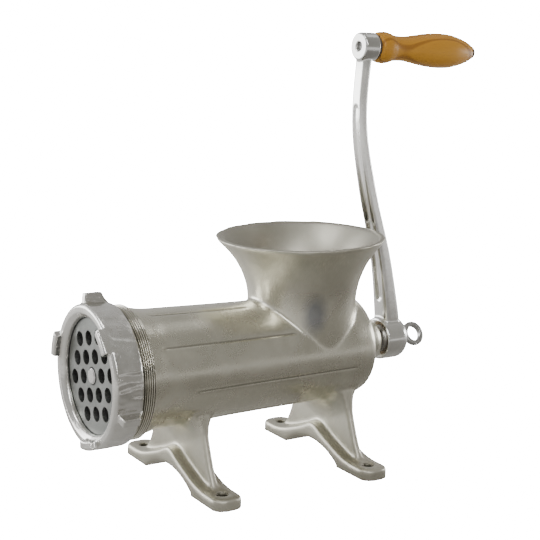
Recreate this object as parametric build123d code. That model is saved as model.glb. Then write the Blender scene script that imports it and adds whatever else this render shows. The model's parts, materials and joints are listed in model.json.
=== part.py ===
from build123d import *
import math
import os

os.makedirs("parts", exist_ok=True)

# Hand crank meat grinder, size 22, bolted to a bench through four splayed feet.
# Frame: +Z up, barrel along Y, outlet towards -Y, crank at +Y.
# Origin: centre of the four bolt holes, on the bench plane.

# ---- driving dimensions, mm ----
AXIS_Z = 81.1  # height of the barrel and auger axis
BARREL_BORE_R = 34.0
BARREL_REAR_Y = 62.0  # where the rear shoulder starts to draw in
MOUTH_Y = -122.0  # front face of the barrel, inside the ring nut
THREAD_END_Y = -101.2
THREAD_PITCH = 1.5
THREAD_CREST_R = 44.8
THREAD_ROOT_R = 43.9
PLATE_R = 41.0
PLATE_FRONT_Y = -125.0
PLATE_REAR_Y = -117.0
PLATE_HOLE_R = 5.0
PLATE_HOLE_PITCH = 14.3
PLATE_ROW_TILT = 14.0  # degrees, how far the hole rows are turned
KEY_ANGLE = 110.0
KEY_PIN_R = 1.8
RIDGE_ANGLES = [74.0 + 45.0 * i for i in range(8)]

HOPPER_Y = 36.5
HOPPER_RIM_Z = 164.0
HOPPER_RIM_Y = 33.2
HOPPER_RIM_RX = 64.8
HOPPER_RIM_RY = 58.3
HOPPER_RIM_TILT = 2.3  # degrees, the rim rises towards the crank
NECK_R = 38.2

FOOT_X = 56.0  # bolt hole centres
FOOT_Y = 58.9
FOOT_HOLE_R = 3.5
FOOT_T = 8.0
FOOT_W = 22.0
FOOT_END_X = 68.5
WEB_T = 6.0

BUSH_R = 13.0
JOURNAL_R = 10.0
REAR_WALL_Y = 71.0
BOSS_END_Y = 99.5

RING_FRONT_Y = -130.6
RING_REAR_Y = -110.7
RING_R = 47.5
RING_BORE_R = 45.15

HUB_FRONT_Y = 104.5
HUB_REAR_Y = 126.0
HUB_R = 15.7
TANG = 14.0
TANG_END_Y = 121.0
SCREW_R = 4.0
EYE_TILT = 118.0
EYE_Y = 139.6

GRIP_Z = 295.2
BOSS_FRONT_Y = 78.1
BOSS_REAR_Y = 91.0
BOLT_R = 3.0
GRIP_DROOP = 1.5  # degrees, how far the grip's bolt leans down


def turned(points, z=AXIS_Z, arc=360.0, start=0.0):
    """Solid of revolution about the line x=0 at height z; points are (y, radius)."""
    outline = Polyline(*[(r, y) for y, r in points], close=True)
    face = Plane.XY.offset(z) * make_face(outline)
    axis = Axis((0, 0, z), (0, 1, 0))
    solid = revolve(face, axis, revolution_arc=arc)
    # a positive turn about +Y carries +X towards -Z
    return solid.rotate(axis, -start)


def polar(radius, angle, z=AXIS_Z):
    """Point (x, z) at an angle measured from +X towards +Z about the barrel axis."""
    a = math.radians(angle)
    return radius * math.cos(a), z + radius * math.sin(a)


def rod(radius, y0, y1, x=0.0, z=AXIS_Z):
    """Round bar along Y from y0 to y1."""
    return Pos(x, (y0 + y1) / 2, z) * Rot(90, 0, 0) * Cylinder(radius, abs(y1 - y0))


def square_bar(side, y0, y1, z=AXIS_Z):
    """Square bar along Y from y0 to y1."""
    return Pos(0, (y0 + y1) / 2, z) * Box(side, y1 - y0, side)


def side_plane(y):
    """Plane across the barrel: local x is +X, local y is +Z, normal is -Y."""
    return Plane(origin=(0, y, 0), x_dir=(1, 0, 0), z_dir=(0, -1, 0))


# ---- body casting ----
def barrel_outline():
    points = [(MOUTH_Y, 0), (MOUTH_Y, THREAD_ROOT_R)]
    y = MOUTH_Y + 0.4
    while y + THREAD_PITCH < THREAD_END_Y + 0.1:
        points.append((y, THREAD_ROOT_R))
        points.append((y + 0.35 * THREAD_PITCH, THREAD_CREST_R))
        points.append((y + 0.55 * THREAD_PITCH, THREAD_CREST_R))
        points.append((y + 0.9 * THREAD_PITCH, THREAD_ROOT_R))
        y += THREAD_PITCH
    points += [(THREAD_END_Y, 43.0), (-99.0, 42.6), (-95.0, 41.9), (-90.0, 40.8)]
    points += [(-86.0, 40.3), (-64.0, 39.8), (-41.0, 39.2), (-21.0, 38.8), (20.0, 38.5)]
    points += [(BARREL_REAR_Y, 38.1), (67.0, 37.5), (71.0, 36.9), (75.0, 36.3), (78.0, 35.3)]
    points += [(80.0, 32.7), (82.0, 29.6), (84.0, 26.9), (86.0, 24.6), (89.0, 21.5), (92.0, 18.9)]
    points += [(95.0, 16.8), (98.0, 15.8), (BOSS_END_Y, 15.2), (BOSS_END_Y, 0)]
    return points


HOPPER_STATIONS = [
    (78.0, 36.0), (92.0, 37.6), (106.0, 38.2), (118.0, 38.6), (127.0, 39.9), (134.0, 42.2),
    (141.0, 45.6), (148.0, 50.2), (154.0, 55.4), (159.0, 60.6), (HOPPER_RIM_Z, HOPPER_RIM_RX),
]


def hopper_section(z, radius, wall):
    """Ellipse that grows from the round neck to the oval rim."""
    t = max(0.0, (radius - NECK_R) / (HOPPER_RIM_RX - NECK_R))
    ry = NECK_R + t * (HOPPER_RIM_RY - NECK_R) if radius > NECK_R else radius
    y = HOPPER_Y + t * (HOPPER_RIM_Y - HOPPER_Y)
    return Pos(0, y, z) * Rot(t * HOPPER_RIM_TILT, 0, 0) * Ellipse(radius - wall + 0.01, ry - wall)


def hopper_outside():
    return loft([hopper_section(z, r, 0.0) for z, r in HOPPER_STATIONS])


def hopper_inside():
    sections = []
    for z, r in HOPPER_STATIONS[:-1]:
        drop = 1.0 if z > 100 else -2.0
        sections.append(hopper_section(z + drop, r, 5.2 if z < 130 else 4.6))
    sections.append(hopper_section(HOPPER_RIM_Z + 2.0, HOPPER_RIM_RX, 2.6))
    return loft(sections)


def web_root(y, web_face):
    """Hollow-sided swelling where a web runs into the barrel; the rear one is short behind."""
    spread = [(14.0, 38.6), (9.5, 40.0), (6.0, 43.0), (4.0, 47.0), (3.0, 52.0)]
    short = [(9.5, 38.4), (7.0, 40.0), (5.0, 43.0), (3.7, 47.0), (3.0, 52.0)]
    behind = short if y > 0 else spread
    outline = [(y - 14.0, 36.5)] + [(y - w, r) for w, r in spread]
    outline += [(y + w, r) for w, r in reversed(behind)] + [(y + behind[0][0], 36.5)]
    block = extrude(side_plane(y + 15.0) * web_face, amount=30.0)
    return turned(outline) & block


def leg_pair(y):
    """Arched foot band with two pads, and the upright web that carries the barrel."""
    crown = Spline(
        (52, 8), (42.2, 8.8), (35, 10.6), (27.6, 13.2), (20, 16.1), (12.4, 19.2), (6, 22.4), (0, 24.0),
        (-6, 22.4), (-12.4, 19.2), (-20, 16.1), (-27.6, 13.2), (-35, 10.6), (-42.2, 8.8), (-52, 8),
    )
    left = Polyline((-52, 8), (-FOOT_END_X, 8), (-FOOT_END_X, 0), (-33, 0))
    arch = ThreePointArc((-33, 0), (0, 11.2), (33, 0))
    right = Polyline((33, 0), (FOOT_END_X, 0), (FOOT_END_X, 8), (52, 8))
    band_face = make_face(Curve() + [crown, left, arch, right])
    band = extrude(side_plane(y + FOOT_W / 2) * band_face, amount=FOOT_W)
    corners = [e for e in band.edges().filter_by(Axis.Z) if abs(abs(e.center().X) - FOOT_END_X) < 0.1]
    band = fillet(corners, 8.0)
    edge = [(50, 7.6), (46.5, 11.8), (42.3, 19), (38.9, 27), (35.2, 37), (32.6, 46), (30.6, 54), (29, 60)]
    right_edge = Spline(*edge)
    left_edge = Spline(*[(-x, z) for x, z in reversed(edge)])
    top = Line((29, 60), (-29, 60))
    bottom = Polyline((-50, 7.6), (-37, 7.0), (0, 17), (37, 7.0), (50, 7.6))
    web_face = make_face(Curve() + [right_edge, top, left_edge, bottom])
    web = extrude(side_plane(y + WEB_T / 2) * web_face, amount=WEB_T)
    return band + web + web_root(y, web_face)


def body():
    solid = turned(barrel_outline()) + hopper_outside()
    for y in (-FOOT_Y, FOOT_Y):
        solid += leg_pair(y)
    bore = [(PLATE_REAR_Y - 0.5, 0), (PLATE_REAR_Y - 0.5, BARREL_BORE_R)]
    bore += [(REAR_WALL_Y - 5.0, BARREL_BORE_R), (REAR_WALL_Y - 1.5, 31.0)]
    bore += [(REAR_WALL_Y, 27.0), (REAR_WALL_Y, 0)]
    solid -= hopper_inside()
    solid -= turned(bore)
    solid -= turned([(MOUTH_Y - 1, 0), (MOUTH_Y - 1, PLATE_R + 0.15), (PLATE_REAR_Y, PLATE_R + 0.15),
                     (PLATE_REAR_Y, 0)])
    for angle in RIDGE_ANGLES:
        x, z = polar(BARREL_BORE_R - 0.6, angle)
        solid -= rod(1.8, PLATE_REAR_Y - 0.5, -8.0, x, z)
    solid -= rod(BUSH_R, REAR_WALL_Y - 1, BOSS_END_Y + 1)
    x, z = polar(PLATE_R - 0.6, KEY_ANGLE)
    solid -= rod(KEY_PIN_R, MOUTH_Y + 0.4, -111.0, x, z)
    for x in (-FOOT_X, FOOT_X):
        for y in (-FOOT_Y, FOOT_Y):
            solid -= Pos(x, y, FOOT_T / 2) * Cylinder(FOOT_HOLE_R, FOOT_T + 4)
    return solid


def plate_key_pin():
    x, z = polar(PLATE_R - 0.6, KEY_ANGLE)
    return rod(KEY_PIN_R, MOUTH_Y + 0.4, -111.0, x, z)


def bearing_bush():
    r0 = JOURNAL_R + 0.05
    return turned([(REAR_WALL_Y, r0), (REAR_WALL_Y, BUSH_R), (BOSS_END_Y - 0.2, BUSH_R), (BOSS_END_Y - 0.2, r0)])


def thrust_washer():
    r0 = JOURNAL_R + 0.3
    return turned([(REAR_WALL_Y - 2.0, r0), (REAR_WALL_Y - 2.0, 20.0), (REAR_WALL_Y, 20.0), (REAR_WALL_Y, r0)])


# ---- feed screw ----
FLIGHT_R = 33.3
CORE_R = 13.0
FLIGHT_PITCH = 38.0
FLIGHT_FRONT_Y = -107.0
FLIGHT_REAR_Y = 63.0
SHOULDER_Y = -109.4  # front end of the feed screw, where the knife hub seats
STUD_SQUARE = 11.0


def threaded_core():
    """Round core with one left-hand blade: a lobed section twisted along the axis."""
    length = FLIGHT_REAR_Y - FLIGHT_FRONT_Y
    root, tip = math.radians(34), math.radians(20)
    a = (CORE_R * math.cos(root), -CORE_R * math.sin(root))
    b = (FLIGHT_R * math.cos(tip), -FLIGHT_R * math.sin(tip))
    c = (b[0], -b[1])
    d = (a[0], -a[1])
    outline = Curve() + [
        Line(a, b), ThreePointArc(b, (FLIGHT_R, 0), c), Line(c, d), ThreePointArc(d, (-CORE_R, 0), a),
    ]
    plane = Plane(origin=(0, FLIGHT_REAR_Y, AXIS_Z), x_dir=(1, 0, 0), z_dir=(0, -1, 0))
    face = plane * make_face(outline)
    turn = 360.0 * length / FLIGHT_PITCH
    return Solid.extrude_linear_with_rotation(
        face.face(), center=(0, FLIGHT_REAR_Y, AXIS_Z), normal=(0, -length, 0), angle=turn
    )


def auger():
    nose = [(SHOULDER_Y, 0), (SHOULDER_Y, 13.0), (SHOULDER_Y + 1, 14.0), (FLIGHT_FRONT_Y, 14.0), (FLIGHT_FRONT_Y, 0)]
    collar_end = REAR_WALL_Y - 2.1
    tail = [(FLIGHT_REAR_Y, 0), (FLIGHT_REAR_Y, 18.0), (collar_end, 18.0), (collar_end, JOURNAL_R)]
    tail += [(HUB_FRONT_Y - 0.1, JOURNAL_R), (HUB_FRONT_Y - 0.1, 0)]
    solid = threaded_core() + turned(nose) + turned(tail)
    solid += square_bar(TANG, HUB_FRONT_Y - 0.5, TANG_END_Y)
    solid -= rod(SCREW_R + 0.3, BOSS_END_Y - 1.0, TANG_END_Y + 1.0)
    solid -= rod(5.0, SHOULDER_Y - 1, -92.0)
    return solid


def knife_stud():
    solid = rod(5.0, SHOULDER_Y - 0.2, -92.0)
    solid += square_bar(STUD_SQUARE, PLATE_REAR_Y + 0.3, SHOULDER_Y)
    tip = [(PLATE_REAR_Y + 0.3, 0), (PLATE_REAR_Y + 0.3, 5.25), (-125.4, 5.25), (-126.2, 4.4), (-126.2, 0)]
    return solid + turned(tip)


def knife():
    """Four-bladed cross knife, flat on the plate side, with scooped leading faces."""
    y0, y1 = PLATE_REAR_Y + 0.1, SHOULDER_Y
    solid = rod(11.0, y0, y1)
    blade = [(y0, -4.2), (y0, 4.2), (y0 + 2.2, 4.2), (y1 - 0.8, -0.5), (y1 - 0.8, -4.2)]
    outline = Polyline(*[(w, y) for y, w in blade], close=True)
    face = Plane(origin=(0, 0, AXIS_Z), x_dir=(1, 0, 0), z_dir=(0, 0, 1)) * make_face(outline)
    bar = extrude(face, amount=31.8)
    for i in range(4):
        solid += bar.rotate(Axis((0, 0, AXIS_Z), (0, 1, 0)), 90.0 * i + 20.0)
    return solid - square_bar(STUD_SQUARE + 0.1, y0 - 1, y1 + 1)


def hole_plate():
    solid = rod(PLATE_R, PLATE_FRONT_Y, PLATE_REAR_Y)
    solid -= rod(5.65, PLATE_FRONT_Y - 1, PLATE_REAR_Y + 1)
    row_step = PLATE_HOLE_PITCH * math.sqrt(3) / 2
    t = math.radians(PLATE_ROW_TILT)
    for row, count in zip(range(-2, 3), (3, 4, 5, 4, 3)):
        for i in range(count):
            u = (i - (count - 1) / 2) * PLATE_HOLE_PITCH
            v = row * row_step
            if abs(u) < 1 and row == 0:
                continue
            x = u * math.cos(t) - v * math.sin(t)
            z = AXIS_Z + u * math.sin(t) + v * math.cos(t)
            solid -= rod(PLATE_HOLE_R, PLATE_FRONT_Y - 1, PLATE_REAR_Y + 1, x, z)
    x, z = polar(PLATE_R - 0.6, KEY_ANGLE)
    solid -= rod(KEY_PIN_R + 0.6, PLATE_FRONT_Y - 1, PLATE_REAR_Y + 1, x, z)
    return solid


def ring_nut():
    solid = turned([
        (RING_FRONT_Y + 2.6, 38.8), (RING_FRONT_Y, 42.0), (RING_FRONT_Y, 45.8), (RING_FRONT_Y + 1.6, RING_R),
        (RING_REAR_Y - 1.2, 47.2),
        (RING_REAR_Y, 46.4), (RING_REAR_Y, RING_BORE_R), (PLATE_FRONT_Y, RING_BORE_R), (PLATE_FRONT_Y, 38.2),
    ])
    fin = [(-128.4, 46.2), (-127.0, 54.2), (-115.4, 54.2), (-113.4, 50.0), (-110.9, 47.0), (-110.9, 46.2)]
    outline = Polyline(*[(r, y) for y, r in fin], close=True)
    bar = extrude(Plane.XY.offset(AXIS_Z - 2.8) * make_face(outline), amount=5.6)
    axis = Axis((0, 0, AXIS_Z), (0, 1, 0))
    for angle in (100.0, 220.0, 340.0):
        solid += bar.rotate(axis, -angle)
    lug = [(-135.0, 42.0), (-135.0, 46.4), (-134.0, 47.4), (-129.0, 47.4), (-129.0, 41.2), (-134.2, 41.2)]
    for angle in (43.0, 163.0, 283.0):
        solid += turned(lug, arc=22.0, start=angle + 11.0)
    return solid


# ---- crank ----
ARM_STATIONS = [
    (114.0, 93.5, 18.0, 12.9), (113.2, 101.0, 17.8, 12.6), (111.2, 113.5, 17.2, 11.8),
    (108.6, 128.0, 16.4, 11.0), (99.3, 165.0, 15.0, 9.4), (91.2, 193.0, 14.2, 8.8), (85.8, 215.5, 13.6, 8.1),
    (82.3, 236.0, 13.1, 7.7), (81.4, 252.0, 12.9, 7.5), (82.1, 270.0, 12.9, 7.5), (83.8, 290.0, 13.0, 7.8),
]


def arm_plane(index, shift=0.0):
    """Plane square to the bowed centreline at a station, moved by shift along its own y."""
    last = len(ARM_STATIONS) - 1
    a = ARM_STATIONS[max(0, index - 1)]
    b = ARM_STATIONS[min(last, index + 1)]
    y, z = ARM_STATIONS[index][:2]
    along = Vector(0, b[0] - a[0], b[1] - a[1]).normalized()
    across = Vector(1, 0, 0).cross(along) * -1
    origin = Vector(0, y, z) + across * shift
    return Plane(origin=origin, x_dir=(1, 0, 0), z_dir=along)


def drooped(shape):
    """Leans a grip piece down about the middle of the crank's upper boss."""
    return shape.rotate(Axis((0, 84.5, GRIP_Z), (1, 0, 0)), -GRIP_DROOP)


def crank_arm():
    sections = []
    for i, (y, z, wide, thick) in enumerate(ARM_STATIONS):
        sections.append(arm_plane(i) * RectangleRounded(wide, thick, 3.2))
    solid = loft(sections)
    for side in (-1, 1):
        flute = []
        for i in range(2, 9):
            thick = ARM_STATIONS[i][3]
            flute.append(arm_plane(i, side * (thick / 2 + 0.3)) * Ellipse(3.3, 1.9))
        solid -= loft(flute)
        for i in (2, 8):
            end = arm_plane(i, side * (ARM_STATIONS[i][3] / 2 + 1.7)).origin
            solid -= Pos(end.X, end.Y, end.Z) * Sphere(3.3)
    hub = [(HUB_FRONT_Y, 0), (HUB_FRONT_Y, 14.8), (HUB_FRONT_Y + 1, HUB_R), (HUB_REAR_Y - 6.5, HUB_R)]
    hub += [(HUB_REAR_Y - 4, 15.0), (HUB_REAR_Y - 2, 13.3), (HUB_REAR_Y - 0.5, 10.8), (HUB_REAR_Y, 9.3)]
    hub += [(HUB_REAR_Y, 0)]
    boss = [(BOSS_FRONT_Y, 0), (BOSS_FRONT_Y, 9.1), (BOSS_FRONT_Y + 0.9, 9.9), (90.2, 10.2), (BOSS_REAR_Y, 9.5)]
    boss += [(BOSS_REAR_Y, 0)]
    solid += turned(hub) + drooped(turned(boss, z=GRIP_Z))
    solid -= square_bar(TANG + 0.2, HUB_FRONT_Y - 1, TANG_END_Y + 0.5)
    solid -= rod(SCREW_R + 0.5, TANG_END_Y - 1, HUB_REAR_Y + 1)
    solid -= drooped(rod(BOLT_R, BOSS_FRONT_Y - 1, BOSS_REAR_Y + 1, z=GRIP_Z))
    return solid


def thumb_screw():
    """Clamping screw with a flat oval eye to turn it by."""
    a = math.radians(EYE_TILT)
    x_dir, z_dir = (math.cos(a), 0, math.sin(a)), (math.sin(a), 0, -math.cos(a))
    eye_plane = Plane(origin=(0, EYE_Y, AXIS_Z), x_dir=x_dir, z_dir=z_dir)
    eye = extrude(eye_plane * Ellipse(9.4, 9.0), amount=2.2, both=True)
    eye = fillet(eye.edges().filter_by(GeomType.LINE, reverse=True), 1.4)
    y = HUB_REAR_Y
    neck = [(y - 24.5, 0), (y - 24.5, SCREW_R), (y, SCREW_R), (y, 7.8), (y + 1.6, 7.8), (y + 2.6, 5.6)]
    neck += [(y + 6.5, 3.4), (y + 6.5, 0)]
    solid = eye + turned(neck)
    solid -= extrude(eye_plane * Ellipse(5.6, 5.4), amount=6.0, both=True)
    return solid


# ---- grip ----
def handle_bolt():
    head = [(180.2, 0), (180.2, 4.8), (182.2, 4.8), (183.4, 3.6), (183.8, 1.8), (183.8, 0)]
    return drooped(rod(BOLT_R, 80.3, 180.4, z=GRIP_Z) + turned(head, z=GRIP_Z))


def grip_washer():
    r0 = BOLT_R + 0.2
    outline = [(BOSS_REAR_Y, r0), (BOSS_REAR_Y, 8.8), (BOSS_REAR_Y + 1.5, 8.8), (BOSS_REAR_Y + 1.5, r0)]
    return drooped(turned(outline, z=GRIP_Z))


def wood_grip():
    start, end = BOSS_REAR_Y + 1.7, 180.0
    shape = Spline(
        (10.8, 95.0), (11.2, 100.5), (10.3, 104.2), (9.3, 107.5), (8.8, 113.0), (9.0, 119.0), (10.2, 127.0),
        (11.6, 136.0), (12.5, 146.0), (12.6, 152.0), (12.0, 160.5), (10.1, 169.0), (8.0, 175.3), (6.3, 179.0),
        (5.2, end),
    )
    nose = Polyline((BOLT_R + 0.4, start), (9.4, start), (10.8, 95.0))
    back = Polyline((5.2, end), (BOLT_R + 0.4, end), (BOLT_R + 0.4, start))
    face = Plane.XY.offset(GRIP_Z) * make_face(Curve() + [nose, shape, back])
    return drooped(revolve(face, Axis((0, 0, GRIP_Z), (0, 1, 0))))


NODES = {
    "body": body,
    "plate_key_pin": plate_key_pin,
    "bearing_bush": bearing_bush,
    "thrust_washer": thrust_washer,
    "auger": auger,
    "knife_stud": knife_stud,
    "knife": knife,
    "hole_plate": hole_plate,
    "ring_nut": ring_nut,
    "crank_arm": crank_arm,
    "thumb_screw": thumb_screw,
    "handle_bolt": handle_bolt,
    "grip_washer": grip_washer,
    "wood_grip": wood_grip,
}

for name, make in NODES.items():
    shape = make()
    box = shape.bounding_box()
    print(name, len(shape.solids()), shape.is_valid, round(shape.volume / 1000, 2), "cm3", box.min, box.max)
    export_step(shape, f"parts/{name}.step")
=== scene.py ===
import json
import math

import bpy
import numpy as np
from mathutils import Matrix, Vector, noise


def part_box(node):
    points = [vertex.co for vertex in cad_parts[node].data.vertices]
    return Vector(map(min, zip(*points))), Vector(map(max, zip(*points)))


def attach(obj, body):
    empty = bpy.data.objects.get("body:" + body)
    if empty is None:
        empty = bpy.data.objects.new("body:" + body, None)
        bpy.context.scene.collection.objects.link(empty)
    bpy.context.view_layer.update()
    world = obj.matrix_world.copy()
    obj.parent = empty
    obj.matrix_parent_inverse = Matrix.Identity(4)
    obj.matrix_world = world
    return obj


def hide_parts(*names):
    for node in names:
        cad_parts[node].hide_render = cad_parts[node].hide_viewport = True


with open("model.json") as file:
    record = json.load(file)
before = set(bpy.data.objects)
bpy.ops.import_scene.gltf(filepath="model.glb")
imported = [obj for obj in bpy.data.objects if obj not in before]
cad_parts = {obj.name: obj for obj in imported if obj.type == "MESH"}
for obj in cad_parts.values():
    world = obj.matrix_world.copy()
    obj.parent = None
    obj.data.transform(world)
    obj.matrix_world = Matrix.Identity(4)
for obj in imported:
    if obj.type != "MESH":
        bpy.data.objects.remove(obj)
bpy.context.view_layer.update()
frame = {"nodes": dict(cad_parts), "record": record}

NODES = frame["nodes"]
BUSH_LO, BUSH_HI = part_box("bearing_bush")
AXIS = Vector((0.0, 0.0, (BUSH_LO.z + BUSH_HI.z) / 2))  # the barrel's centre line, along Y
JOINTS = {joint["name"]: joint for joint in frame["record"]["behaviour"]["joints"]}
GRIP_PIVOT = Vector(JOINTS["grip_spin"]["pos_m"])
GRIP_AXIS = Vector(JOINTS["grip_spin"]["axis"]).normalized()
GRIP_Z = GRIP_PIVOT.z
PITCH = 0.0015  # of the outlet thread
WHITE, BLACK = (1, 1, 1), (0, 0, 0)


# ---- mesh helpers ----
def link(name, mesh):
    obj = bpy.data.objects.new(name, mesh)
    bpy.context.scene.collection.objects.link(obj)
    return obj


def smooth(mesh):
    mesh.polygons.foreach_set("use_smooth", [True] * len(mesh.polygons))
    mesh.update()
    return mesh


def coords(mesh):
    flat = np.empty(len(mesh.vertices) * 3)
    mesh.vertices.foreach_get("co", flat)
    return flat.reshape(-1, 3)


def put(mesh, co):
    mesh.vertices.foreach_set("co", co.ravel())
    mesh.update()


def voxel_copy(node, voxel, reshape=None):
    """New mesh of a CAD node's shape in small even quads."""
    mesh = NODES[node].data.copy()
    mesh.materials.clear()
    if reshape:
        put(mesh, reshape(coords(mesh)))
    temp = link("temp", mesh)
    mod = temp.modifiers.new("skin", "REMESH")
    mod.mode = "VOXEL"
    mod.voxel_size = voxel
    graph = bpy.context.evaluated_depsgraph_get()
    made = bpy.data.meshes.new_from_object(temp.evaluated_get(graph))
    bpy.data.objects.remove(temp)
    return made


def relax(mesh, rounds, weight=None):
    """Draws every point towards its neighbours, so that corners run into each other."""
    co = coords(mesh)
    edges = np.empty(len(mesh.edges) * 2, dtype=np.int64)
    mesh.edges.foreach_get("vertices", edges)
    a, b = edges[0::2], edges[1::2]
    count = len(co)
    degree = np.maximum(np.bincount(a, minlength=count) + np.bincount(b, minlength=count), 1)
    pull = 0.5
    w = pull * (np.ones(count) if weight is None else weight(co))
    for _ in range(rounds):
        for k in range(3):
            c = co[:, k]
            total = np.bincount(a, c[b], count) + np.bincount(b, c[a], count)
            co[:, k] = c + w * (total / degree - c)
    put(mesh, co)
    return mesh


def lathe(name, profile, axis_z, segments):
    """Closed surface of revolution about a line along Y; profile is a loop of (y, radius) in metres."""
    n = len(profile)
    verts, faces = [], []
    for i in range(segments):
        t = 2 * math.pi * i / segments
        for y, r in profile:
            verts.append((r * math.cos(t), y, axis_z + r * math.sin(t)))
    for i in range(segments):
        j = (i + 1) % segments
        for k in range(n):
            m = (k + 1) % n
            faces.append((i * n + k, i * n + m, j * n + m, j * n + k))
    mesh = bpy.data.meshes.new(name)
    mesh.from_pydata(verts, [], faces)
    mesh.validate()
    return link(name, smooth(mesh))


def lean(obj):
    """Turns a piece made along Y about the grip's pivot onto the grip's own axis."""
    turn = Vector((0, 1, 0)).rotation_difference(GRIP_AXIS).to_matrix().to_4x4()
    obj.data.transform(Matrix.Translation(GRIP_PIVOT) @ turn @ Matrix.Translation(-GRIP_PIVOT))
    return obj


def hermite(points, steps):
    """Smooth curve through (y, r) points, evenly divided between them."""
    out = []
    for i in range(len(points) - 1):
        p0 = points[max(0, i - 1)]
        p1, p2 = points[i], points[i + 1]
        p3 = points[min(len(points) - 1, i + 2)]
        for s in range(steps):
            t = s / steps
            pair = []
            for k in (0, 1):
                m1, m2 = (p2[k] - p0[k]) / 2, (p3[k] - p1[k]) / 2
                h = (2 * t**3 - 3 * t**2 + 1) * p1[k] + (t**3 - 2 * t**2 + t) * m1
                h += (-2 * t**3 + 3 * t**2) * p2[k] + (t**3 - t**2) * m2
                pair.append(h)
            out.append(tuple(pair))
    out.append(points[-1])
    return out


# ---- materials ----
def new_material(name):
    mat = bpy.data.materials.new(name)
    mat.use_nodes = True
    tree = mat.node_tree
    shader = tree.nodes["Principled BSDF"]
    return mat, tree, shader


def node(tree, kind, **values):
    made = tree.nodes.new(kind)
    for key, value in values.items():
        if key in made.inputs:
            made.inputs[key].default_value = value
        else:
            setattr(made, key, value)
    return made


def noise_at(tree, vector, scale, detail=3.0, rough=0.55, distort=0.0):
    made = node(tree, "ShaderNodeTexNoise", Scale=scale, Detail=detail, Roughness=rough, Distortion=distort)
    tree.links.new(vector, made.inputs["Vector"])
    return made.outputs["Fac"]


def ramp(tree, value, stops):
    made = tree.nodes.new("ShaderNodeValToRGB")
    tree.links.new(value, made.inputs["Fac"])
    band = made.color_ramp
    while len(band.elements) < len(stops):
        band.elements.new(0.5)
    for element, (pos, colour) in zip(band.elements, stops):
        element.position = pos
        element.color = (*colour, 1.0)
    return made.outputs["Color"]


def rise(tree, value, black_at, white_at):
    """Black up to black_at, then fading to white at white_at."""
    return ramp(tree, value, [(black_at, BLACK), (white_at, WHITE)])


def fall(tree, value, white_at, black_at):
    """White up to white_at, then fading to black at black_at."""
    return ramp(tree, value, [(white_at, WHITE), (black_at, BLACK)])


def math_node(tree, operation, a, b=0.0):
    made = tree.nodes.new("ShaderNodeMath")
    made.operation = operation
    for socket, value in zip(made.inputs, (a, b)):
        if isinstance(value, (int, float)):
            socket.default_value = value
        else:
            tree.links.new(value, socket)
    return made.outputs[0]


def mix_colour(tree, factor, a, b):
    made = tree.nodes.new("ShaderNodeMix")
    made.data_type = "RGBA"
    for index, value in ((0, factor), (6, a), (7, b)):
        socket = made.inputs[index]
        if isinstance(value, (int, float)):
            socket.default_value = value
        elif isinstance(value, tuple):
            socket.default_value = (*value, 1.0)
        else:
            tree.links.new(value, socket)
    return made.outputs[2]


def map_range(tree, value, lo, hi, out_lo, out_hi):
    made = node(tree, "ShaderNodeMapRange")
    tree.links.new(value, made.inputs["Value"])
    for key, number in (("From Min", lo), ("From Max", hi), ("To Min", out_lo), ("To Max", out_hi)):
        made.inputs[key].default_value = number
    return made.outputs["Result"]


def stretched(tree, vector, scale):
    made = node(tree, "ShaderNodeMapping")
    made.inputs["Scale"].default_value = scale
    tree.links.new(vector, made.inputs["Vector"])
    return made.outputs["Vector"]


def bump(tree, height, strength, distance, before=None):
    made = node(tree, "ShaderNodeBump", Strength=strength, Distance=distance)
    tree.links.new(height, made.inputs["Height"])
    if before is not None:
        tree.links.new(before, made.inputs["Normal"])
    return made.outputs["Normal"]


def soft_spot(tree, at, centre, half):
    """1 inside an ellipsoid of half sizes `half` about `centre`, fading to 0 outside it."""
    shift = node(tree, "ShaderNodeVectorMath", operation="SUBTRACT")
    tree.links.new(at, shift.inputs[0])
    shift.inputs[1].default_value = centre
    length = node(tree, "ShaderNodeVectorMath", operation="LENGTH")
    tree.links.new(stretched(tree, shift.outputs[0], tuple(1.0 / h for h in half)), length.inputs[0])
    edge_noise = 0.25
    wobble = math_node(tree, "MULTIPLY", noise_at(tree, at, 120.0, 3.0, 0.6), edge_noise)
    return fall(tree, math_node(tree, "SUBTRACT", length.outputs["Value"], wobble), 0.25, 0.95)


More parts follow.
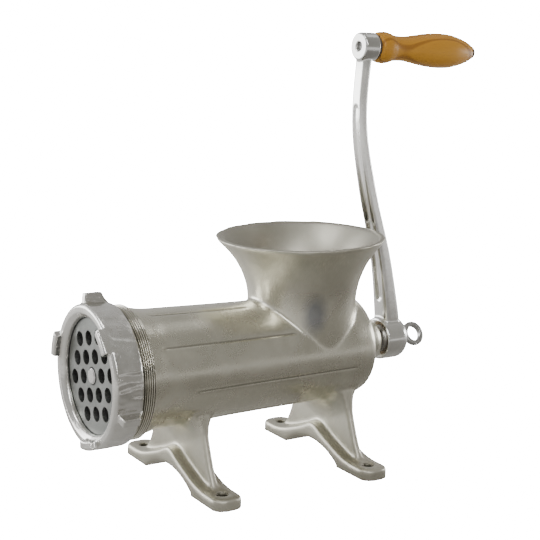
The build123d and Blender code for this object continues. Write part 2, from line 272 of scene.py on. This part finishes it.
def tinned(name, light, dark, rough=(0.26, 0.42), skin=0.25, pits=0.3, warm=0.4, edges=0.35, cavity_shade=0.75,
           hollows=(0.36, 0.465), spot=None, satin=()):
    """Hot tin plate on a casting: cloudy tone, fine skin, pits, bright rubbed edges, painted shade in the
    hollows.
    """
    mat, tree, shader = new_material(name)
    at = tree.nodes.new("ShaderNodeTexCoord").outputs["Object"]
    clouds = noise_at(tree, at, 26.0, 4.0, 0.6, 0.4)
    mottle = noise_at(tree, at, 180.0, 3.0, 0.6)
    grain = noise_at(tree, at, 1300.0, 2.0, 0.6)
    tone = mix_colour(tree, rise(tree, clouds, 0.36, 0.66), dark, light)
    stain = rise(tree, mottle, 0.55, 0.78)
    brown = tuple(c * k for c, k in zip(dark, (0.86, 0.78, 0.66)))
    tone = mix_colour(tree, math_node(tree, "MULTIPLY", stain, warm), tone, brown)
    edge = tree.nodes.new("ShaderNodeNewGeometry").outputs["Pointiness"]
    worn = rise(tree, edge, 0.53, 0.64)
    bright = tuple(min(1.0, c * 1.2) for c in light)
    tone = mix_colour(tree, math_node(tree, "MULTIPLY", worn, edges), tone, bright)
    # Painted shade: concave places, found by pointiness, are mixed towards a darker tone.
    hollow = fall(tree, edge, *hollows)
    cavity_shade_tone = tuple(c * k for c, k in zip(dark, (0.42, 0.39, 0.32)))
    tone = mix_colour(tree, math_node(tree, "MULTIPLY", hollow, cavity_shade), tone, cavity_shade_tone)
    # An optional soft spot of another tone; the hopper's spot is a painted reflection.
    if spot:
        centre, half, tint = spot
        mask = math_node(tree, "MULTIPLY", soft_spot(tree, at, centre, half), 0.85)
        tone = mix_colour(tree, mask, tone, tint)
    tree.links.new(tone, shader.inputs["Base Color"])
    shader.inputs["Metallic"].default_value = 1.0
    gloss = math_node(tree, "ADD", clouds, math_node(tree, "MULTIPLY", grain, 0.18))
    gloss = map_range(tree, gloss, 0.40, 0.80, *rough)
    if satin:
        height = tree.nodes.new("ShaderNodeSeparateXYZ")
        tree.links.new(at, height.inputs[0])
        for start, end, extra in satin:
            more = map_range(tree, height.outputs["Z"], start, end, 0.0, extra)
            gloss = math_node(tree, "ADD", gloss, more)
    tree.links.new(gloss, shader.inputs["Roughness"])
    spots = noise_at(tree, at, 420.0, 2.0, 0.5)
    pit = rise(tree, spots, 0.25, 0.36)
    normal = bump(tree, pit, pits, 0.0003)
    normal = bump(tree, mottle, skin, 0.0006, normal)
    normal = bump(tree, grain, skin, 0.00006, normal)
    tree.links.new(normal, shader.inputs["Normal"])
    return mat


def darker(mat, mask, amount, tint):
    """Mixes a darker tone over a material's colour where the mask is 1."""
    tree = mat.node_tree
    socket = tree.nodes["Principled BSDF"].inputs["Base Color"]
    before = socket.links[0].from_socket
    tree.links.new(mix_colour(tree, math_node(tree, "MULTIPLY", mask, amount), before, tint), socket)


def position(mat):
    """The material's tree and its x, y, z in metres."""
    tree = mat.node_tree
    parts = tree.nodes.new("ShaderNodeSeparateXYZ")
    tree.links.new(tree.nodes.new("ShaderNodeTexCoord").outputs["Object"], parts.inputs[0])
    return tree, *parts.outputs


def squares(tree, a, b):
    """a * a + b * b"""
    return math_node(tree, "ADD", math_node(tree, "MULTIPLY", a, a), math_node(tree, "MULTIPLY", b, b))


def painted_bowl_shade(mat, bottom):
    """Paints shade on the hopper's upward-facing inside, so it is darker than its outside."""
    tree, _, _, z = position(mat)
    facing = tree.nodes.new("ShaderNodeSeparateXYZ")
    tree.links.new(tree.nodes.new("ShaderNodeTexCoord").outputs["Normal"], facing.inputs[0])
    upward = map_range(tree, facing.outputs["Z"], 0.02, 0.25, 0.0, 1.0)
    high = map_range(tree, z, bottom, bottom + 0.008, 0.0, 1.0)
    darker(mat, math_node(tree, "MULTIPLY", upward, high), 0.75, (0.36, 0.35, 0.30))


def painted_feet_shade(mat):
    """Paints shade on the feet, darker towards the floor."""
    tree, _, _, z = position(mat)
    darker(mat, map_range(tree, z, 0.034, 0.014, 0.0, 1.0), 0.45, (0.42, 0.405, 0.34))


def painted_hole_shade(mat, holes):
    """Painted shade in the bolt holes of the feet; each of holes is (half spacing in x, y, radius)."""
    for half_x, at_y, radius in holes:
        tree, x, y, z = position(mat)
        off_x = math_node(tree, "SUBTRACT", math_node(tree, "ABSOLUTE", x), half_x)
        off_y = math_node(tree, "SUBTRACT", y, at_y)
        away = math_node(tree, "SQRT", squares(tree, off_x, off_y))
        in_hole = map_range(tree, away, radius + 0.0002, radius + 0.0010, 1.0, 0.0)
        low = map_range(tree, z, 0.020, 0.026, 1.0, 0.0)
        darker(mat, math_node(tree, "MULTIPLY", in_hole, low), 0.80, (0.09, 0.085, 0.065))


def painted_thread_shade(mat, pitch, ring_back):
    """Paints shade in the thread's root along its helix, and a painted shadow on the turns next to the ring
    nut's rear face.
    """
    tree, x, y, z = position(mat)
    angle = math_node(tree, "ARCTAN2", math_node(tree, "SUBTRACT", z, AXIS.z), x)
    along = math_node(tree, "DIVIDE", y, pitch)
    turns = math_node(tree, "SUBTRACT", along, math_node(tree, "DIVIDE", angle, math.tau))
    root = ramp(tree, math_node(tree, "FRACT", turns),
                [(0.12, WHITE), (0.34, BLACK), (0.66, BLACK), (0.88, WHITE)])
    shaded_length = 0.0035
    shade = fall(tree, map_range(tree, y, ring_back, ring_back + shaded_length, 0.0, 1.0), 0.0, 1.0)
    thread_shade_tone = (0.12, 0.11, 0.08)
    darker(mat, root, 0.8, thread_shade_tone)
    darker(mat, shade, 0.75, thread_shade_tone)


def turned_steel(name, light, dark, rough=(0.25, 0.4), centre=None, shadow_bands=()):
    """Fine lathe rings about a line along Y; the last argument lists dark bands of painted shadow as (radius,
    half width).
    """
    mat, tree, shader = new_material(name)
    at = tree.nodes.new("ShaderNodeTexCoord").outputs["Object"]
    shift = node(tree, "ShaderNodeVectorMath", operation="SUBTRACT")
    tree.links.new(at, shift.inputs[0])
    shift.inputs[1].default_value = (0, 0, AXIS.z if centre is None else centre)
    flat = stretched(tree, shift.outputs[0], (1, 0, 1))
    length = node(tree, "ShaderNodeVectorMath", operation="LENGTH")
    tree.links.new(flat, length.inputs[0])
    ring_pos = tree.nodes.new("ShaderNodeCombineXYZ")
    tree.links.new(length.outputs["Value"], ring_pos.inputs[0])
    rings = noise_at(tree, ring_pos.outputs[0], 2600.0, 2.0, 0.7)
    cloud = noise_at(tree, at, 60.0, 4.0, 0.6)
    ring_share = math_node(tree, "MULTIPLY", rings, 0.4)
    mix = math_node(tree, "ADD", ring_share, math_node(tree, "MULTIPLY", cloud, 0.6))
    tone = mix_colour(tree, rise(tree, mix, 0.35, 0.65), dark, light)
    for radius, half in shadow_bands:
        off = math_node(tree, "ABSOLUTE", math_node(tree, "SUBTRACT", length.outputs["Value"], radius))
        band = fall(tree, map_range(tree, off, 0.0, half, 0.0, 1.0), 0.5, 1.0)
        shadow_tone = tuple(c * 0.12 for c in dark)
        tone = mix_colour(tree, math_node(tree, "MULTIPLY", band, 0.9), tone, shadow_tone)
    tree.links.new(tone, shader.inputs["Base Color"])
    shader.inputs["Metallic"].default_value = 1.0
    tree.links.new(map_range(tree, mix, 0.3, 0.7, *rough), shader.inputs["Roughness"])
    normal = bump(tree, rings, 0.25, 0.00008)
    tree.links.new(bump(tree, noise_at(tree, at, 900.0, 2.0), 0.15, 0.0001, normal), shader.inputs["Normal"])
    return mat


def varnished_wood(name):
    """Orange-brown hardwood turned on a lathe, with grain along Y, a few dark pores and a clear coat."""
    mat, tree, shader = new_material(name)
    at = tree.nodes.new("ShaderNodeTexCoord").outputs["Object"]
    shift = node(tree, "ShaderNodeVectorMath", operation="SUBTRACT")
    tree.links.new(at, shift.inputs[0])
    pith_x, pith_rise = -0.0352, 0.009  # the tree's centre lies outside the grip
    shift.inputs[1].default_value = (pith_x, 0.0, GRIP_Z + pith_rise)
    grain_at = stretched(tree, shift.outputs[0], (1.0, 0.07, 1.0))
    wave = node(tree, "ShaderNodeTexWave", wave_type="RINGS", rings_direction="Y", Scale=56.0, Distortion=1.6,
                Detail=1.5)
    wave.inputs["Detail Scale"].default_value = 1.2
    tree.links.new(grain_at, wave.inputs["Vector"])
    rings = wave.outputs["Fac"]
    broad = noise_at(tree, grain_at, 55.0, 3.0, 0.5)
    fibres = noise_at(tree, stretched(tree, at, (1.0, 0.035, 1.0)), 2200.0, 3.0, 0.6)
    pale, mid, deep = (0.54, 0.262, 0.028), (0.47, 0.212, 0.021), (0.22, 0.083, 0.010)
    tone = mix_colour(tree, rise(tree, broad, 0.35, 0.65), mid, pale)
    late = fall(tree, rings, 0.02, 0.20)
    tone = mix_colour(tree, math_node(tree, "MULTIPLY", late, 0.62), tone, deep)
    pores = fall(tree, fibres, 0.30, 0.42)
    tone = mix_colour(tree, math_node(tree, "MULTIPLY", pores, 0.30), tone, (0.25, 0.11, 0.03))
    tree.links.new(tone, shader.inputs["Base Color"])
    tree.links.new(map_range(tree, fibres, 0.3, 0.7, 0.38, 0.52), shader.inputs["Roughness"])
    shader.inputs["Specular IOR Level"].default_value = 0.25
    shader.inputs["Coat Weight"].default_value = 0.12
    shader.inputs["Coat Roughness"].default_value = 0.25
    tree.links.new(bump(tree, fibres, 0.25, 0.00015), shader.inputs["Normal"])
    return mat


# soft spots: centre, half sizes, colour
# painted reflection: a dark blue-grey patch on the hopper's neck, where dark surroundings are mirrored
HOPPER_PAINTED_REFLECTION = ((0.0360, 0.0237, 0.1144), (0.0095, 0.0105, 0.0165), (0.30, 0.31, 0.325))
BOSS_GREY = ((0.0, 0.0745, 0.2955), (0.022, 0.030, 0.019), (0.58, 0.58, 0.56))
# duller bands of height: start, end, roughness gained at the end
DULL_HOPPER, DULL_FEET = (0.128, 0.140, 0.16), (0.045, 0.032, 0.15)
BOWL_BOTTOM = 0.124
FOOT_HOLES = [(0.0560, at_y, 0.0035) for at_y in (-0.0589, 0.0589)]
IRON = tinned("tinned_iron", (0.69, 0.675, 0.585), (0.62, 0.60, 0.51), rough=(0.23, 0.33), skin=0.03,
              pits=0.06, warm=0.12, edges=0.0, cavity_shade=0.28, hollows=(0.33, 0.45), spot=HOPPER_PAINTED_REFLECTION,
              satin=(DULL_HOPPER, DULL_FEET))
THREAD = tinned("cut_thread", (0.80, 0.78, 0.70), (0.68, 0.66, 0.58), rough=(0.15, 0.24), skin=0.05,
                pits=0.05, edges=0.2, cavity_shade=0.3)
painted_thread_shade(THREAD, PITCH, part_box("ring_nut")[1].y)
# The ring's tin is given a lighter tone than the body's tin: painted light, for its brightly lit front face.
RING = tinned("tinned_ring", (0.76, 0.755, 0.73), (0.62, 0.61, 0.58), rough=(0.15, 0.30), skin=0.30, pits=0.3,
              warm=0.2, edges=0.2, cavity_shade=0.55)
painted_bowl_shade(IRON, BOWL_BOTTOM)
painted_feet_shade(IRON)
painted_hole_shade(IRON, FOOT_HOLES)
CRANK = tinned("tinned_crank", (0.92, 0.92, 0.90), (0.84, 0.84, 0.82), rough=(0.17, 0.27), skin=0.12,
               pits=0.15, warm=0.10, edges=0.1, cavity_shade=0.12, spot=BOSS_GREY)
AUGER = tinned("tinned_auger", (0.56, 0.55, 0.52), (0.44, 0.43, 0.41), rough=(0.3, 0.48))
SCREW = tinned("tinned_screw", (0.58, 0.58, 0.57), (0.42, 0.42, 0.41), rough=(0.26, 0.42), warm=0.2)
# the plate's dark bands are painted shadow: at the gap to the ring nut's bore and round the stud's hole
PLATE = turned_steel("ground_plate", (0.29, 0.30, 0.29), (0.21, 0.22, 0.21), rough=(0.36, 0.52),
                     shadow_bands=((0.0386, 0.0011), (0.0052, 0.0012)))
KNIFE = turned_steel("ground_knife", (0.26, 0.26, 0.265), (0.18, 0.18, 0.185), rough=(0.35, 0.5))
STEEL = turned_steel("turned_stud", (0.78, 0.77, 0.76), (0.62, 0.61, 0.60), rough=(0.22, 0.36))
DARK = turned_steel("dark_steel", (0.070, 0.068, 0.065), (0.035, 0.033, 0.031), rough=(0.42, 0.58),
                    centre=GRIP_Z)
BRONZE = turned_steel("oiled_bronze", (0.24, 0.18, 0.10), (0.16, 0.12, 0.07), rough=(0.35, 0.5))
FIBRE = turned_steel("fibre", (0.30, 0.13, 0.07), (0.22, 0.09, 0.05), rough=(0.6, 0.8))
WOOD = varnished_wood("varnished_wood")
BOLT = turned_steel("bolt_steel", (0.42, 0.42, 0.41), (0.30, 0.30, 0.29), rough=(0.35, 0.5), centre=GRIP_Z)
for dull in (DARK, FIBRE, BOLT):
    dull.node_tree.nodes["Principled BSDF"].inputs["Metallic"].default_value = 0.0


def black_rear(mat, start, end, tint):
    """Blacks a bolt behind its front end, fading in from y = start to y = end."""
    tree, _, y, _ = position(mat)
    shader = tree.nodes["Principled BSDF"]
    blacked = rise(tree, map_range(tree, y, start, end, 0.0, 1.0), 0.0, 1.0)
    before = shader.inputs["Base Color"].links[0].from_socket
    tree.links.new(mix_colour(tree, blacked, before, tint), shader.inputs["Base Color"])
    shader.inputs["Specular IOR Level"].default_value = 0.2


black_rear(BOLT, 0.088, 0.090, (0.030, 0.029, 0.027))


def dress(obj, material, body=None, replaces=None):
    obj.data.materials.clear()
    obj.data.materials.append(material)
    if replaces:
        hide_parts(replaces)
    if body:
        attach(obj, body)
    return obj


# ---- body casting ----
THREAD_END = -0.1012
THREAD_ROOT, THREAD_CREST, THREAD_BORE = 0.0438, 0.0448, 0.04118
NECK_RADIUS = THREAD_ROOT - 0.0007
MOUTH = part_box("body")[0].y


def radius_about_axis(co):
    return np.hypot(co[:, 0], co[:, 2] - AXIS.z)


def strip_thread(co):
    """Turns the thread rings down to a plain neck, because the threaded sleeve is its own piece."""
    co = co.copy()
    r = radius_about_axis(co)
    pick = (co[:, 1] < THREAD_END + 0.0004) & (r > THREAD_ROOT - 0.0012)
    k = NECK_RADIUS / r[pick]
    co[pick, 0] *= k
    co[pick, 2] = AXIS.z + (co[pick, 2] - AXIS.z) * k
    return co


def casting_weight(co):
    """How far each point may relax: pads stay flat, machined faces stay true."""
    w = np.ones(len(co))
    pads_top, machined_end = 0.0006, -0.100
    w[co[:, 2] < pads_top] = 0.0
    w[co[:, 1] < machined_end] = 0.1
    return w


# mould lines along the barrel: angle about the axis, front end, rear end (hopper and feet stop some)
CREASES = [(74, -0.093, -0.014), (33, -0.093, 0.013), (-12, -0.070, 0.063), (147, -0.093, 0.013),
           (106, -0.093, -0.014), (192, -0.070, 0.063), (-57, -0.040, 0.040), (237, -0.040, 0.040)]
CREASE_DEPTH = 0.00055
CREASE_WIDTH = 0.0009
CREASE_RUNOUT = 0.004
FACET = 0.00008
FACET_AWAY, FACET_WIDTH = 0.0028, 0.0022
BARREL_SKIN = (0.0372, 0.0412)  # the outside of the barrel lies between these radii


def crease(mesh):
    """Presses shallow mould lines into the barrel, with a faintly raised band along both sides of each."""
    co = coords(mesh)
    r = radius_about_axis(co)
    angle = np.degrees(np.arctan2(co[:, 2] - AXIS.z, co[:, 0]))
    change = np.zeros(len(co))
    skin = (r > BARREL_SKIN[0]) & (r < BARREL_SKIN[1])
    for at, front, rear in CREASES:
        off = np.radians((angle - at + 180.0) % 360.0 - 180.0) * r
        along = np.clip(np.minimum(co[:, 1] - front, rear - co[:, 1]) / CREASE_RUNOUT, 0.0, 1.0)
        change -= CREASE_DEPTH * along * np.exp(-(off / CREASE_WIDTH) ** 2)
        change += FACET * along * np.exp(-((np.abs(off) - FACET_AWAY) / FACET_WIDTH) ** 2)
    scale = np.where(skin, 1.0 + change / np.maximum(r, 0.001), 1.0)
    co[:, 0] *= scale
    co[:, 2] = AXIS.z + (co[:, 2] - AXIS.z) * scale
    put(mesh, co)
    return mesh


def wavy(mesh, height):
    """Moves each point of a casting away from the barrel axis by height(angle in degrees, y, radius)."""
    co = coords(mesh)
    r = radius_about_axis(co)
    angle = np.degrees(np.arctan2(co[:, 2] - AXIS.z, co[:, 0]))
    moved = np.array([height(a, y, q) for a, y, q in zip(angle, co[:, 1], r)])
    scale = 1.0 + moved / np.maximum(r, 0.001)
    co[:, 0] *= scale
    co[:, 2] = AXIS.z + (co[:, 2] - AXIS.z) * scale
    put(mesh, co)
    return mesh


def painted_crease_shade(mat):
    """Painted shade along the mould lines."""
    tree, x, y, z = position(mat)
    height = math_node(tree, "SUBTRACT", z, AXIS.z)
    angle = math_node(tree, "ARCTAN2", height, x)
    radius = math_node(tree, "SQRT", squares(tree, x, height))
    on_barrel = map_range(tree, radius, 0.0416, 0.0422, 0.55, 0.0)
    for at, front, rear in CREASES:
        centre = math.radians((at + 180.0) % 360.0 - 180.0)
        off = math_node(tree, "ABSOLUTE", math_node(tree, "SUBTRACT", angle, centre))
        line = map_range(tree, off, 0.009, 0.026, 1.0, 0.0)
        begun = map_range(tree, y, front, front + 0.005, 0.0, 1.0)
        left = map_range(tree, y, rear - 0.005, rear, 1.0, 0.0)
        darker(mat, math_node(tree, "MULTIPLY", line, math_node(tree, "MULTIPLY", begun, left)), on_barrel,
               (0.20, 0.19, 0.155))


painted_crease_shade(IRON)
casting = voxel_copy("body", voxel=0.0009, reshape=strip_thread)
relax(casting, 18, casting_weight)
crease(casting)
body = link("Body_casting", smooth(casting))
dress(body, IRON, "frame", "body")


def threaded_sleeve():
    """The barrel's outlet end: a helical thread with rounded crests, closed at both ends.

    It winds left-handed, although the ring nut moves as on a right-hand thread.
    """
    turn_steps, rows = 160, 168
    sharpen, widen_root, runout = 1.5, 0.2, 0.0006
    y0, y1 = MOUTH, THREAD_END + 0.0002
    verts, faces = [], []
    for i in range(turn_steps):
        t = 2 * math.pi * i / turn_steps
        for k in range(rows + 1):
            y = y0 + (y1 - y0) * k / rows
            phase = ((y - PITCH * t / (2 * math.pi)) / PITCH) % 1.0
            wave = 0.5 - 0.5 * math.cos(2 * math.pi * phase)
            wave = min(1.0, max(0.0, wave * sharpen - widen_root))
            ends = min(1.0, (y - y0) / runout, (y1 - y) / runout)
            r = THREAD_ROOT + (THREAD_CREST - THREAD_ROOT) * wave * max(0.0, ends)
            verts.append((r * math.cos(t), y, AXIS.z + r * math.sin(t)))
        for y in (y1, y0):
            verts.append((THREAD_BORE * math.cos(t), y, AXIS.z + THREAD_BORE * math.sin(t)))
    n = rows + 3
    for i in range(turn_steps):
        j = (i + 1) % turn_steps
        for k in range(n):
            m = (k + 1) % n
            faces.append((i * n + k, j * n + k, j * n + m, i * n + m))
    mesh = bpy.data.meshes.new("Barrel_thread")
    mesh.from_pydata(verts, [], faces)
    mesh.validate()
    return link("Barrel_thread", smooth(mesh))


dress(threaded_sleeve(), THREAD, "frame", "body")

# ---- other castings ----
RING_FLANK_LO, RING_FLANK_HI = 0.0464, 0.0480
RING_FRONT, RING_REAR, RING_FADE = -0.1290, -0.1112, 0.002
FOLD_DEPTH, FOLD_LIMIT, SPARKLE_DEPTH = 0.00075, 0.35, 0.00050


def ring_crinkle(angle, y, r):
    """Cold shuts on the ring's outer side: long folds and a finer sparkle, none on fins or faces."""
    if not (RING_FLANK_LO < r < RING_FLANK_HI and RING_FRONT < y < RING_REAR):
        return 0.0
    arc = math.radians(angle) * r
    fade = min(1.0, (y - RING_FRONT) / RING_FADE, (RING_REAR - y) / RING_FADE)
    x, z = r * math.cos(math.radians(angle)), r * math.sin(math.radians(angle))
    folds = noise.noise(Vector((x * 230, y * 62 + arc * 14, z * 230)))
    ripple = noise.noise(Vector((x * 620, y * 260, z * 620)))
    patch = max(0.0, noise.noise(Vector((x * 60 + 7, y * 60, z * 60))))
    return fade * (FOLD_DEPTH * min(FOLD_LIMIT, folds) + SPARKLE_DEPTH * patch * ripple)


ring_mesh = relax(voxel_copy("ring_nut", 0.0005), 7)
ring = link("Ring_nut_casting", smooth(wavy(ring_mesh, ring_crinkle)))
dress(ring, RING, "ring", "ring_nut")
arm = link("Crank_casting", smooth(relax(voxel_copy("crank_arm", 0.0005), 10)))
dress(arm, CRANK, "crank", "crank_arm")
feed = link("Feed_screw_casting", smooth(relax(voxel_copy("auger", 0.0011), 6)))
dress(feed, AUGER, "feed", "auger")
eye = link("Thumb_screw_casting", smooth(relax(voxel_copy("thumb_screw", 0.00035), 8)))
dress(eye, SCREW, "screw", "thumb_screw")

# ---- grip ----
# profiles are (y, radius), made level and then turned onto the grip's own axis
grip_profile = [
    (0.0928, 0.0093), (0.0937, 0.0102), (0.0950, 0.0108), (0.0975, 0.01115), (0.1005, 0.0112),
    (0.1042, 0.0103), (0.1075, 0.0093), (0.1130, 0.0088), (0.1190, 0.0090), (0.1270, 0.0102),
    (0.1360, 0.0116), (0.1440, 0.01237), (0.1520, 0.0126), (0.1605, 0.0120), (0.1690, 0.0101),
    (0.1753, 0.0080), (0.1785, 0.0066), (0.1796, 0.0059), (0.1800, 0.0052),
]
GRIP_BORE, SHANK, ON_AXIS = 0.0035, 0.00295, 0.0001
grip_ends = [(grip_profile[-1][0], GRIP_BORE), (grip_profile[0][0], GRIP_BORE)]
grip = lean(lathe("Grip_turned", hermite(grip_profile, 5) + grip_ends, GRIP_Z, 128))
dress(grip, WOOD, "grip", "wood_grip")
shank = [(0.0803, ON_AXIS), (0.0803, 0.0027), (0.0806, SHANK), (0.1801, SHANK)]
cap = [(0.1801, 0.0045), (0.1803, 0.0048), (0.1818, 0.0048), (0.1828, 0.0043), (0.1835, 0.0031),
       (0.18375, 0.0014)]
cap_profile = shank + hermite(cap, 4) + [(0.18378, ON_AXIS)]
bolt = lean(lathe("Handle_bolt_turned", cap_profile, GRIP_Z, 64))
dress(bolt, BOLT, "crank", "handle_bolt")

# ---- carried-over nodes ----
for name, material in (
    ("plate_key_pin", STEEL), ("bearing_bush", BRONZE), ("thrust_washer", FIBRE), ("knife_stud", STEEL),
    ("knife", KNIFE), ("hole_plate", PLATE), ("grip_washer", DARK),
):
    NODES[name].data.materials.clear()
    NODES[name].data.materials.append(material)

# ---- stage, light, camera ----
def seen_white(tree, shaded, target):
    """The camera sees plain white; everything else sees the shaded colour."""
    white = node(tree, "ShaderNodeEmission", Strength=30.0, Color=(*WHITE, 1))
    mixer = tree.nodes.new("ShaderNodeMixShader")
    tree.links.new(tree.nodes.new("ShaderNodeLightPath").outputs["Is Camera Ray"], mixer.inputs[0])
    tree.links.new(shaded, mixer.inputs[1])
    tree.links.new(white.outputs[0], mixer.inputs[2])
    tree.links.new(mixer.outputs[0], target)


SURROUND = 0.82  # strength of the glow of floor and room
DIM_CENTRE, DIM_REACH = (0.30, 0.22, 0.0), (0.25, 0.80)  # the floor is dim about here, brighter further off
FLOOR_HALF, FLOOR_Z = 4.0, -0.0002
floor_mat, floor_tree, floor_shader = new_material("floor")
floor_shader.inputs["Base Color"].default_value = (0.14, 0.135, 0.13, 1)
floor_shader.inputs["Roughness"].default_value = 0.8
away = node(floor_tree, "ShaderNodeVectorMath", operation="DISTANCE")
floor_tree.links.new(floor_tree.nodes.new("ShaderNodeTexCoord").outputs["Object"], away.inputs[0])
away.inputs[1].default_value = DIM_CENTRE
glow = ramp(floor_tree, map_range(floor_tree, away.outputs["Value"], *DIM_REACH, 0.0, 1.0),
            [(0.0, (0.11, 0.105, 0.09)), (1.0, (1.0, 0.99, 0.97))])
floor_tree.links.new(glow, floor_shader.inputs["Emission Color"])
floor_shader.inputs["Emission Strength"].default_value = SURROUND
seen_white(floor_tree, floor_shader.outputs[0], floor_tree.nodes["Material Output"].inputs["Surface"])
mesh = bpy.data.meshes.new("Floor")
corners = [(i * FLOOR_HALF, j * FLOOR_HALF, FLOOR_Z) for i, j in ((-1, -1), (1, -1), (1, 1), (-1, 1))]
mesh.from_pydata(corners, [], [(0, 1, 2, 3)])
floor = link("Floor", mesh)
floor.data.materials.append(floor_mat)

world = bpy.data.worlds.new("studio")
bpy.context.scene.world = world
world.use_nodes = True
wt = world.node_tree
wt.nodes.clear()
out = wt.nodes.new("ShaderNodeOutputWorld")
direction = wt.nodes.new("ShaderNodeTexCoord").outputs["Generated"]
side = node(wt, "ShaderNodeVectorMath", operation="DOT_PRODUCT")
wt.links.new(direction, side.inputs[0])
DIM_SIDE = (0.84, 0.40, 0.37)  # the room is darkest in this direction
side.inputs[1].default_value = DIM_SIDE
room_tones = [(0.0, WHITE), (0.45, (0.66, 0.65, 0.63)), (0.80, (0.50, 0.49, 0.46)),
              (1.0, (0.40, 0.39, 0.36))]
shade = ramp(wt, map_range(wt, side.outputs["Value"], -1.0, 1.0, 0.0, 1.0), room_tones)
room = node(wt, "ShaderNodeBackground", Strength=SURROUND)
wt.links.new(shade, room.inputs["Color"])
seen_white(wt, room.outputs[0], out.inputs["Surface"])


def area(name, at, to, size, watts):
    data = bpy.data.lights.new(name, "AREA")
    data.shape = "RECTANGLE"
    data.size, data.size_y = size
    data.energy = watts
    obj = bpy.data.objects.new(name, data)
    bpy.context.scene.collection.objects.link(obj)
    obj.location = at
    obj.rotation_euler = (Vector(to) - Vector(at)).to_track_quat("-Z", "Y").to_euler()
    return obj


MIDDLE = (0, 0, 0.1)
area("Key", (-1.25, -0.95, 0.30), MIDDLE, (1.2, 0.9), 18)
area("Front_top", (-0.25, -0.85, 1.20), MIDDLE, (0.35, 0.35), 5)
area("Back", (-0.05, 1.50, 0.15), MIDDLE, (0.5, 0.5), 5)
area("Overhead", (-0.15, 0.85, 1.40), MIDDLE, (0.5, 0.3), 0.35)
strip = area("Strip", (1.12, -0.42, 1.10), MIDDLE, (1.5, 0.22), 10)
# the strip's long side is turned to lie along this line
strip_back = (strip.location - Vector(MIDDLE)).normalized()
strip_along = Vector((0.72, 0.53, -0.45))
strip_along = (strip_along - strip_along.dot(strip_back) * strip_back).normalized()
strip_across = strip_back.cross(strip_along)
strip.rotation_euler = Matrix((strip_along, strip_across, strip_back)).transposed().to_euler()
area("Rear_side", (0.42, 1.45, 0.38), (0.04, 0.06, 0.09), (0.16, 0.40), 3)

CAMERA_AT = (0.70165, -0.43832, 0.29657)
AZ, EL, ROLL = math.radians(57.47), math.radians(10.62), math.radians(1.51)
back = Vector((math.sin(AZ) * math.cos(EL), -math.cos(AZ) * math.cos(EL), math.sin(EL)))
right = Vector((math.cos(AZ), math.sin(AZ), 0.0))
up = back.cross(right)
right2 = right * math.cos(ROLL) + up * math.sin(ROLL)
up2 = up * math.cos(ROLL) - right * math.sin(ROLL)
camera = bpy.data.cameras.new("Camera")
camera.lens, camera.sensor_width = 80.99, 36.0
cam = bpy.data.objects.new("Camera", camera)
bpy.context.scene.collection.objects.link(cam)
turned = Matrix((right2, up2, back)).transposed().to_4x4()
cam.matrix_world = Matrix.Translation(CAMERA_AT) @ turned
bpy.context.scene.camera = cam
